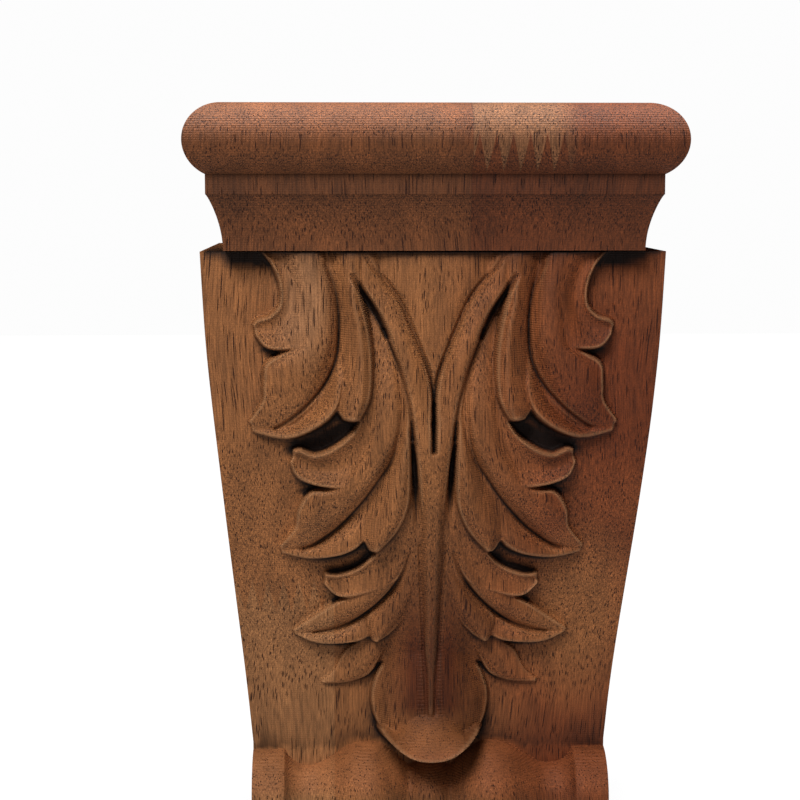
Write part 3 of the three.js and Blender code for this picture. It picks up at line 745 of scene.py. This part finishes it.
# %% [markdown]
# What lies under the bullnose is in its shade, so the cap is painted a little darker there.

# %% Cap
CAP_SHADE = 0.3
CAP_SHADE_FADE = 5
ring_sides = np.linspace(-1, 1, 81)
ring_returns = np.linspace(0, 1, 41)


def cap_ring(down):
    """One level of the cap, from the wall round the left side, the front and the right side."""
    setback = cap_setback(down)
    half = CAP_WIDTH / 2 - setback
    front = CAP_DEPTH - setback
    left = [(-half, -front * t, TOP - down) for t in ring_returns]
    face = [(half * s, -front, TOP - down) for s in ring_sides[1:-1]]
    right = [(half, -front * t, TOP - down) for t in ring_returns[::-1]]
    return left + face + right


rings = [cap_ring(level) for level in levels]
count = len(rings[0])
faces = []
for r in range(len(rings) - 1):
    for c in range(count):
        d = (c + 1) % count
        faces.append((r * count + c, (r + 1) * count + c, (r + 1) * count + d, r * count + d))
faces.append(list(range(count)))
faces.append(list(range((len(rings) - 1) * count, len(rings) * count))[::-1])
cap = mesh_from("cap", np.concatenate(rings), faces)
crisp(cap, 28)
cap_down = TOP - np.array([v.co.z for v in cap.data.vertices]) / MM
# Painted shade under the bullnose.
fade = np.exp(-np.clip(cap_down - FILLET_BOTTOM, 0, None) / CAP_SHADE_FADE)
keep_on(cap, "hollow_shade", CAP_SHADE * (cap_down > FILLET_TOP) * fade)
keep_on(cap, "edge", 0 * cap_down)
print("cap has", len(cap.data.polygons), "faces")

# %% [markdown]
# ## The seat
# Behind the foot of the cove a block of timber carries the cap on the body. Its back is set in a
# little, because faces lying in one plane would show as black bands on the flat back.

# %% Seat
SEAT_INSET = 0.2
SEAT_UP, SEAT_DOWN = 3, 1
seat_half = CAP_WIDTH / 2 - COVE_SETBACK - 2
seat_front = BODY_FRONT - 2
seat_plan = [(-seat_half, SEAT_INSET), (-seat_half, seat_front), (seat_half, seat_front),
             (seat_half, SEAT_INSET)]
seat_points = [(x, -y, TOP - d) for d in (BODY_TOP - SEAT_UP, BODY_TOP + SEAT_DOWN)
               for x, y in seat_plan]
seat_faces = [(0, 1, 2, 3), (7, 6, 5, 4), (0, 4, 5, 1), (1, 5, 6, 2), (2, 6, 7, 3), (3, 7, 4, 0)]
seat = mesh_from("seat", seat_points, seat_faces)
crisp(seat, 30)
print("seat is", 2 * seat_half, "mm wide")

# %% [markdown]
# ## One piece
# The real corbel is one workpiece, so the three meshes are joined into one.

# %% One piece
bpy.ops.object.select_all(action="DESELECT")
for piece in (cap, seat, body):
    piece.select_set(True)
bpy.context.view_layer.objects.active = body
bpy.ops.object.join()
corbel = body
corbel.name = "corbel"
corbel.data.name = "corbel"
print("corbel has", len(corbel.data.polygons), "faces")

# %% [markdown]
# ## The wood
# This is light red meranti, or lauan, cut by the router and left bare. What shows on it, from large
# to small: boards glued side by side and finger-jointed end to end, bands of tone, fibre streaks,
# vessels, which show as dark dashes where the cut runs with the grain and as dots where it slopes
# across, and the ridges the bit leaves. A photograph could be wrapped round it, but a slope would
# show stretched dashes. A solid pattern, read at each spot in millimetres, is cut by the carving
# just as the real board is.

# %% Node helper
def rgb(code):
    """An sRGB hex colour as linear light."""
    parts = [int(code[i:i + 2], 16) / 255 for i in (1, 3, 5)]
    return tuple(p / 12.92 if p <= 0.04045 else ((p + 0.055) / 1.055) ** 2.4 for p in parts) + (1,)


def add(tree, kind, inputs=(), out=0, **settings):
    """Adds a node with its settings, gives each input a value or a link, and returns one output."""
    made = tree.nodes.new("ShaderNode" + kind)
    for name, value in settings.items():
        setattr(made, name, value)
    for place, value in dict(inputs).items():
        if isinstance(value, bpy.types.NodeSocket):
            tree.links.new(value, made.inputs[place])
        else:
            made.inputs[place].default_value = value
    return made.outputs[out]


wood = bpy.data.materials.new("red_meranti_as_routed")
wood.use_nodes = True
tree = wood.node_tree
shader = tree.nodes["Principled BSDF"]
print("the wood starts with", len(tree.nodes), "nodes")

# %% [markdown]
# A few little patterns serve everywhere in the wood: sums, ramps, steps, mixes and products.

# %% Sums, ramps and mixes
def calc(operation, *values):
    return add(tree, "Math", dict(enumerate(values)), operation=operation)


def vector(operation, *values):
    return add(tree, "VectorMath", dict(enumerate(values)), operation=operation)


def ramp(value, start, end, low=0.0, high=1.0):
    """Low to high as a value goes from start to end."""
    return add(tree, "MapRange", {"Value": value, "From Min": start, "From Max": end,
                                  "To Min": low, "To Max": high})


def beyond(value, limit, soft):
    """0 to 1 as a value passes a limit. A softness below zero turns the step round."""
    return ramp(value, limit - soft, limit + soft)


def blend(share, first, second):
    return add(tree, "Mix", {0: share, 6: first, 7: second}, out=2, data_type="RGBA")


def product(*values):
    result = values[0]
    for value in values[1:]:
        result = calc("MULTIPLY", result, value)
    return result


def opposite(value):
    return calc("SUBTRACT", 1.0, value)


# %% [markdown]
# The grain runs up the corbel and wanders by a few millimetres, as a trunk does. So the place where
# fibres and vessels are read is pushed aside by a slow noise.

# %% Grain directions
GRAIN_WANDER = 9
spot = add(tree, "TexCoord", out="Object")
mm = add(tree, "VectorMath", {0: spot, "Scale": 1 / MM}, operation="SCALE")
bend = add(tree, "TexNoise", {"Vector": mm, "Scale": 0.02, "Detail": 1.0}, out="Color")
bend = vector("SUBTRACT", bend, (0.5, 0.5, 0.5))
grain = vector("ADD", mm, vector("MULTIPLY", bend, (GRAIN_WANDER, GRAIN_WANDER, 0)))
across_x = add(tree, "SeparateXYZ", {0: mm})
back_y, up_z = across_x.node.outputs[1], across_x.node.outputs[2]
aside = calc("ABSOLUTE", across_x)
facing = add(tree, "SeparateXYZ", {0: add(tree, "NewGeometry", out="Normal")})
sideways = calc("ABSOLUTE", facing)
facing_up = facing.node.outputs[2]
level = calc("ABSOLUTE", facing_up)
print("grain wanders by up to", GRAIN_WANDER / 2, "mm either way")

# %% [markdown]
# ## Boards
# The blank is brown in the middle and redder to the right. A straw-coloured strip of the cap ends
# in a finger joint, and another joins a paler length low on the body's left. The teeth have their
# real size. Each board could be a mesh of its own, but the carving runs straight through the glue
# lines, so each board is a share from 0 to 1 that mixes its colour in.

# %% Boards
BROWN, STRAW, RED, PALE = rgb("#986137"), rgb("#b58c60"), rgb("#7a3d1d"), rgb("#9d6a41")
GLUE_LINES = (8.6, 31)
LEFT_GLUE_LINE = -25
CAP_JOINT = 84
LOW_JOINT = -29
CAP_UNDERSIDE = 60.4
TOOTH_PITCH = 4
TOOTH_LENGTH = 9
CRISP = 0.05


def joint(height):
    """1 above a row of finger joints at a height, 0 under it."""
    tooth = calc("PINGPONG", across_x, TOOTH_PITCH / 2)
    line = ramp(tooth, 0.0, TOOTH_PITCH / 2, height - TOOTH_LENGTH / 2, height + TOOTH_LENGTH / 2)
    return beyond(calc("SUBTRACT", up_z, line), 0, 0.35)


strip = product(beyond(across_x, GLUE_LINES[0], CRISP), beyond(across_x, GLUE_LINES[1], -3.5))
left_board = beyond(across_x, LEFT_GLUE_LINE, -CRISP)
over_body = beyond(up_z, CAP_UNDERSIDE, 0.2)
below_cap = opposite(over_body)
in_cap = product(over_body, beyond(across_x, GLUE_LINES[0], CRISP))
redder = calc("MAXIMUM", beyond(across_x, 14, 16), in_cap)
tone = blend(product(redder, 0.9), BROWN, RED)
tone = blend(product(strip, joint(CAP_JOINT), 0.65), tone, STRAW)
tone = blend(product(left_board, opposite(joint(LOW_JOINT))), tone, PALE)
print("glue lines at", GLUE_LINES, "mm and", LEFT_GLUE_LINE, "mm")

# %% [markdown]
# In the middle of the blank, near the front, is a board of redder heartwood, which comes to light
# low down on the rib and the tongue. The whole cap is coloured darker than the body.

# %% Heartwood
HEART_HALF = 12
HEART_BACK = -35
heartwood = product(beyond(back_y, HEART_BACK, -12), beyond(aside, HEART_HALF, -7),
                    ramp(up_z, 0.0, -42.0), ramp(up_z, -64.0, -58.0, 0.4))
tone = blend(heartwood, tone, rgb("#55260b"))
tone = blend(product(over_body, 0.7), tone, rgb("#5e2f16"))
print("heartwood within", HEART_HALF, "mm of the centre line")

# %% [markdown]
# Boards are never one colour, and a rounded part cut across a streak shows it as a lens. Each patch
# is a soft ellipsoid near the front: its place across and up and its half sizes, its share, its
# colour and, if it belongs to the body or the cap alone, the share that keeps it there. The patch on
# the lip is a painted highlight and the pale one on the upper leaf partly one, and the roll's upward
# faces are painted lighter where the light from above falls on them.

# %% Patches
LENS_DEPTH = 60
PATCHES = [
    ((38, -36, 20, 30), 0.7, "#a2693c"),
    ((46, 24, 22, 30), 0.7, "#632a10", below_cap),
    ((36, -74, 34, 12), 0.4, "#5a220c"),
    # Partly a paler, dusty spot of the wood and partly a painted highlight on the crest, which faces the
    # light.
    ((-31.6, 48.4, 9, 19), 0.25, "#b98f6c", below_cap),
    # Painted highlight on the lip's scoop, which faces up into the light.
    ((-3, -66.5, 13, 7), 0.4, "#b06a3a"),
]
NOSE_LENS = ((-2, 89.5, 12, 5), 0.45, "#6b4226", over_body)


def around(x, z, x_size, z_size):
    """1 at a spot near the front, fading to 0 at the edge of a lens of those half sizes."""
    away = vector("SUBTRACT", mm, (x, -BODY_FRONT, z))
    away = vector("MULTIPLY", away, (1 / x_size, 1 / LENS_DEPTH, 1 / z_size))
    return beyond(vector("LENGTH", away).node.outputs["Value"], 0.7, -0.3)


def patched(tone, place, share, colour, *kept_to):
    return blend(product(around(*place), *kept_to, share), tone, rgb(colour))


for patch in PATCHES:
    tone = patched(tone, *patch)
# Painted highlight: the roll's upward faces are made lighter, where the light from above falls.
lit_roll_top = product(beyond(facing_up, 0.25, 0.15), beyond(up_z, -68, -1))
tone = blend(product(lit_roll_top, 0.28), tone, rgb("#b5683c"))
tone = patched(tone, *NOSE_LENS)
print(len(PATCHES) + 1, "patches of another tone")

# %% [markdown]
# ## Figure of the grain
# Growth gives bands along the grain, and a grain that leans one way and then the other gives a
# faint slanting ribbon. Fibres are fine streaks, 0.3 mm wide. Where the bit cuts across them it
# leaves a speckled surface, and on a level face they give way to end grain. Each is a noise
# stretched along the grain that scales the colour.

# %% Bands and streaks
BAND_SWING, RIBBON_SWING, FIBRE_SWING = 0.16, 0.1, 0.42
SPECKLE = 4.0


def stretched(x_size, z_size, detail=2.0, seed=0.0):
    """Noise from 0 to 1 whose spots are so many millimetres across and long."""
    place = vector("MULTIPLY", grain, (1 / x_size, 1 / x_size, 1 / z_size))
    place = vector("ADD", place, (seed, seed, seed))
    return add(tree, "TexNoise", {"Vector": place, "Scale": 1.0, "Detail": detail})


def around_one(value, swing):
    return ramp(value, 0.3, 0.7, 1 - swing, 1 + swing)


bands = stretched(5, 90)
slanting = add(tree, "VectorRotate", {"Vector": mm, "Angle": math.radians(35)}, rotation_type="Y_AXIS")
ribbon_place = vector("MULTIPLY", slanting, (1 / 9, 1 / 40, 1 / 30))
ribbon = add(tree, "TexNoise", {"Vector": ribbon_place, "Scale": 1.0, "Detail": 1.0})
fibres = stretched(0.3, 9, 3.0, 7.0)
specks = stretched(0.28, 0.45, 2.0, 3.0)
rough_cut = product(ramp(level, 0.05, 0.6, 0.25), ramp(up_z, -60.0, -40.0, 0.3))
speckle = product(calc("SUBTRACT", specks, 0.5), rough_cut)
end_grain = ramp(level, 0.35, 0.8, 0.0, 0.7)
fibres = add(tree, "Mix", {0: end_grain, 2: fibres, 3: 0.5})
shine = product(around_one(bands, BAND_SWING), around_one(ribbon, RIBBON_SWING),
                around_one(fibres, FIBRE_SWING), calc("MULTIPLY_ADD", speckle, SPECKLE, 1.0))
tone = add(tree, "VectorMath", {0: tone, "Scale": shine}, operation="SCALE")
print("fibres change the tone by", FIBRE_SWING)

# %% [markdown]
# ## Vessels
# Meranti has large, open vessels, 0.2 to 0.3 mm across, and cut along, each is a dark dash some
# millimetres long. Each cell of a Voronoi pattern, stretched along the grain, holds one tube. Its
# girth is drawn by lot, and a quarter of the cells stay empty. The tubes have about their real
# size: 0.1 to 0.28 mm, one to each cell of 0.42 mm.

# %% Vessels
VESSEL_SPACING = 0.42
VESSEL_LENGTH = 14
VESSEL_GIRTHS = (0.12, 0.33)
EMPTY_CELLS = 0.24
tube_place = vector("MULTIPLY", grain, (1 / VESSEL_SPACING, 1 / VESSEL_SPACING, 1 / VESSEL_LENGTH))
tubes = add(tree, "TexVoronoi", {"Vector": tube_place, "Scale": 1.0}, out="Distance")
luck = add(tree, "SeparateXYZ", {0: tubes.node.outputs["Color"]})
girth = ramp(luck, 0.0, 1.0, *VESSEL_GIRTHS)
there = beyond(luck.node.outputs[1], EMPTY_CELLS, 0.02)
vessels = product(beyond(calc("SUBTRACT", girth, tubes), 0, 0.06), there)
tone = blend(product(vessels, 0.93), tone, rgb("#32130a"))
print(round((1 - EMPTY_CELLS) / VESSEL_SPACING**2, 1), "vessels to a square millimetre")

# %% [markdown]
# ## Painted shade, painted highlight and glue
# The shades kept on the mesh paint a pale highlight on the edges and near-black shade in the
# hollows. The glue in the first glue line is a dark hair over everything.

# %% Hollows, edges and glue
painted_shade = add(tree, "Attribute", attribute_name="hollow_shade", out="Fac")
edge_highlight = add(tree, "Attribute", attribute_name="edge", out="Fac")
# Painted highlight on the high edges.
tone = blend(product(edge_highlight, 0.32), tone, rgb("#c79468"))
# Painted shade, near black, in the creases, pockets and hollows.
tone = blend(product(painted_shade, 0.97), tone, rgb("#0e0402"))
seam = beyond(calc("ABSOLUTE", calc("SUBTRACT", across_x, GLUE_LINES[0])), 0.12, -0.05)
tone = blend(product(seam, 0.35), tone, rgb("#2a120b"))
tree.links.new(tone, shader.inputs["Base Color"])
print("the wood has", len(tree.nodes), "nodes so far")

# %% [markdown]
# ## Tool marks
# The bit goes to and fro, and each pass leaves a ridge that stands out on slopes. The ridges are
# drawn a little coarser than a finishing pass leaves them, so that they show in the picture. Beside
# the rib the bit chattered and left a broken ladder of notches. At a tenth of a millimetre a bump
# is enough, and it carries the fibres, the specks and the open vessels too.

# %% Tool marks and pores in relief
MARK_PITCH = 0.55
MARK_HEIGHTS = (0.013, 0.045)
CHATTER_PITCH = 0.95
CHATTER_HEIGHT = 0.08
RELIEFS = ((fibres, 0.05), (specks, 0.08), (vessels, -0.12))


def ripple(pitch):
    return calc("SINE", product(up_z, 2 * math.pi / pitch))


steep = ramp(calc("MAXIMUM", sideways, level), 0.25, 0.7, *MARK_HEIGHTS)
height = product(ripple(MARK_PITCH), steep)
beside_rib = product(beyond(aside, 1.7, 0.3), beyond(aside, 3.2, -0.7), beyond(specks, 0.45, 0.1),
                     beyond(up_z, -5, -8), beyond(up_z, -62, 2))
chatter = product(ripple(CHATTER_PITCH), beside_rib)
for pattern, depth in ((chatter, CHATTER_HEIGHT), *RELIEFS):
    height = calc("MULTIPLY_ADD", pattern, depth, height)
bump = add(tree, "Bump", {"Height": height, "Distance": MM}, out="Normal")
tree.links.new(bump, shader.inputs["Normal"])
print("ridges every", MARK_PITCH, "mm")

# %% [markdown]
# Bare wood scatters light and has only a dull sheen where the bit burnished it.

# %% Sheen
shader.inputs["Roughness"].default_value = 0.68
shader.inputs["Specular IOR Level"].default_value = 0.3
shader.inputs["IOR"].default_value = 1.5
corbel.data.materials.clear()
corbel.data.materials.append(wood)
print("one material:", corbel.data.materials[0].name)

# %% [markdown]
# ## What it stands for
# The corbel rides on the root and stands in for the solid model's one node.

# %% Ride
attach(corbel, "root")
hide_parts("carved_corbel")

# %% [markdown]
# ## Camera
# The photo was taken with a longish lens, a little from the left and from above. Place and angles
# were found by laying the cap's edges and the body's tapering sides on the photo's.

# %% Camera
LENS = 76.5
CAMERA_AT = (-21.8, -483.4, 76.1)
LOOKS_DOWN = 7.17
TURNED_RIGHT = 1.85
camera_data = bpy.data.cameras.new("camera")
camera_data.lens = LENS
camera_data.sensor_width = 36
camera = bpy.data.objects.new("camera", camera_data)
camera.location = [v * MM for v in CAMERA_AT]
camera.rotation_euler = (math.radians(90 - LOOKS_DOWN), 0, math.radians(-TURNED_RIGHT))
bpy.context.scene.collection.objects.link(camera)
bpy.context.scene.camera = camera
print("camera", round(-CAMERA_AT[1] - CAP_DEPTH), "mm in front of the cap")

# %% [markdown]
# ## Light
# The photo has a soft studio light from above and a little from the left. A wide key lamp gives it,
# a smaller one overhead models the relief, and a faint one in front fills.

# %% Lamps
def lamp(name, towards, distance, size, strength):
    """A round soft lamp aimed at the middle. Strength is what white paper facing it would send back."""
    data = bpy.data.lights.new(name, "AREA")
    data.shape = "DISK"
    data.size = size
    data.energy = strength * math.pi**2 * distance**2
    piece = bpy.data.objects.new(name, data)
    direction = Vector(towards).normalized()
    piece.location = direction * distance
    piece.rotation_euler = direction.to_track_quat("Z", "Y").to_euler()
    bpy.context.scene.collection.objects.link(piece)


lamp("key", (-0.24, -0.66, 0.72), 2.4, 0.95, 0.78)
lamp("overhead", (0, -0.05, 1), 2.0, 0.5, 1.95)
lamp("front", (-0.1, -1, 0.15), 2.5, 0.8, 0.06)
print(len(bpy.data.lights), "lamps")

# %% [markdown]
# The white table sends light up from below, and the room above is dark. The camera sees plain white
# behind the corbel. Two backgrounds do it, chosen by whether the ray comes from the camera.

# %% World
world = bpy.data.worlds.new("world")
bpy.context.scene.world = world
world.use_nodes = True
room = world.node_tree
room.nodes.clear()
direction_up = add(room, "SeparateXYZ", {0: add(room, "TexCoord", out="Generated")}, out="Z")
grade = add(room, "MapRange", {"Value": direction_up, "From Min": -0.1, "From Max": -0.7,
                               "To Min": 0.012, "To Max": 0.82})
dim = add(room, "Background", {"Color": (1, 1, 1, 1), "Strength": grade})
white = add(room, "Background", {"Color": (0.98, 0.98, 0.98, 1), "Strength": 1.0})
seen = add(room, "LightPath", out="Is Camera Ray")
either = add(room, "MixShader", {0: seen, 1: dim, 2: white})
world_output = room.nodes.new("ShaderNodeOutputWorld")
room.links.new(either, world_output.inputs[0])
bpy.context.scene.view_settings.view_transform = "Standard"
print("world of", len(room.nodes), "nodes")

# %% [markdown]
# ## Floor
# The photo's ground is plain white. The floor is a sheet of paper that glows by itself, so hardly
# a shadow shows on it, and it sends no light to the wood, as the world does that.

# %% Floor
FLOOR_HALF = 1500
FLOOR_UP = -96.2
floor_corners = [(-FLOOR_HALF, -FLOOR_HALF, FLOOR_UP), (FLOOR_HALF, -FLOOR_HALF, FLOOR_UP),
                 (FLOOR_HALF, FLOOR_HALF, FLOOR_UP), (-FLOOR_HALF, FLOOR_HALF, FLOOR_UP)]
floor = mesh_from("floor", floor_corners, [(0, 1, 2, 3)], smooth=False)
paper = bpy.data.materials.new("white_paper")
paper.use_nodes = True
paper_shader = paper.node_tree.nodes["Principled BSDF"]
paper_shader.inputs["Base Color"].default_value = (0.05, 0.05, 0.05, 1)
paper_shader.inputs["Emission Color"].default_value = (1, 1, 1, 1)
paper_shader.inputs["Emission Strength"].default_value = 0.96
floor.data.materials.append(paper)
floor.visible_diffuse = False
floor.visible_glossy = False
print("floor", round(-FLOOR_UP - HEIGHT / 2, 1), "mm under the foot")
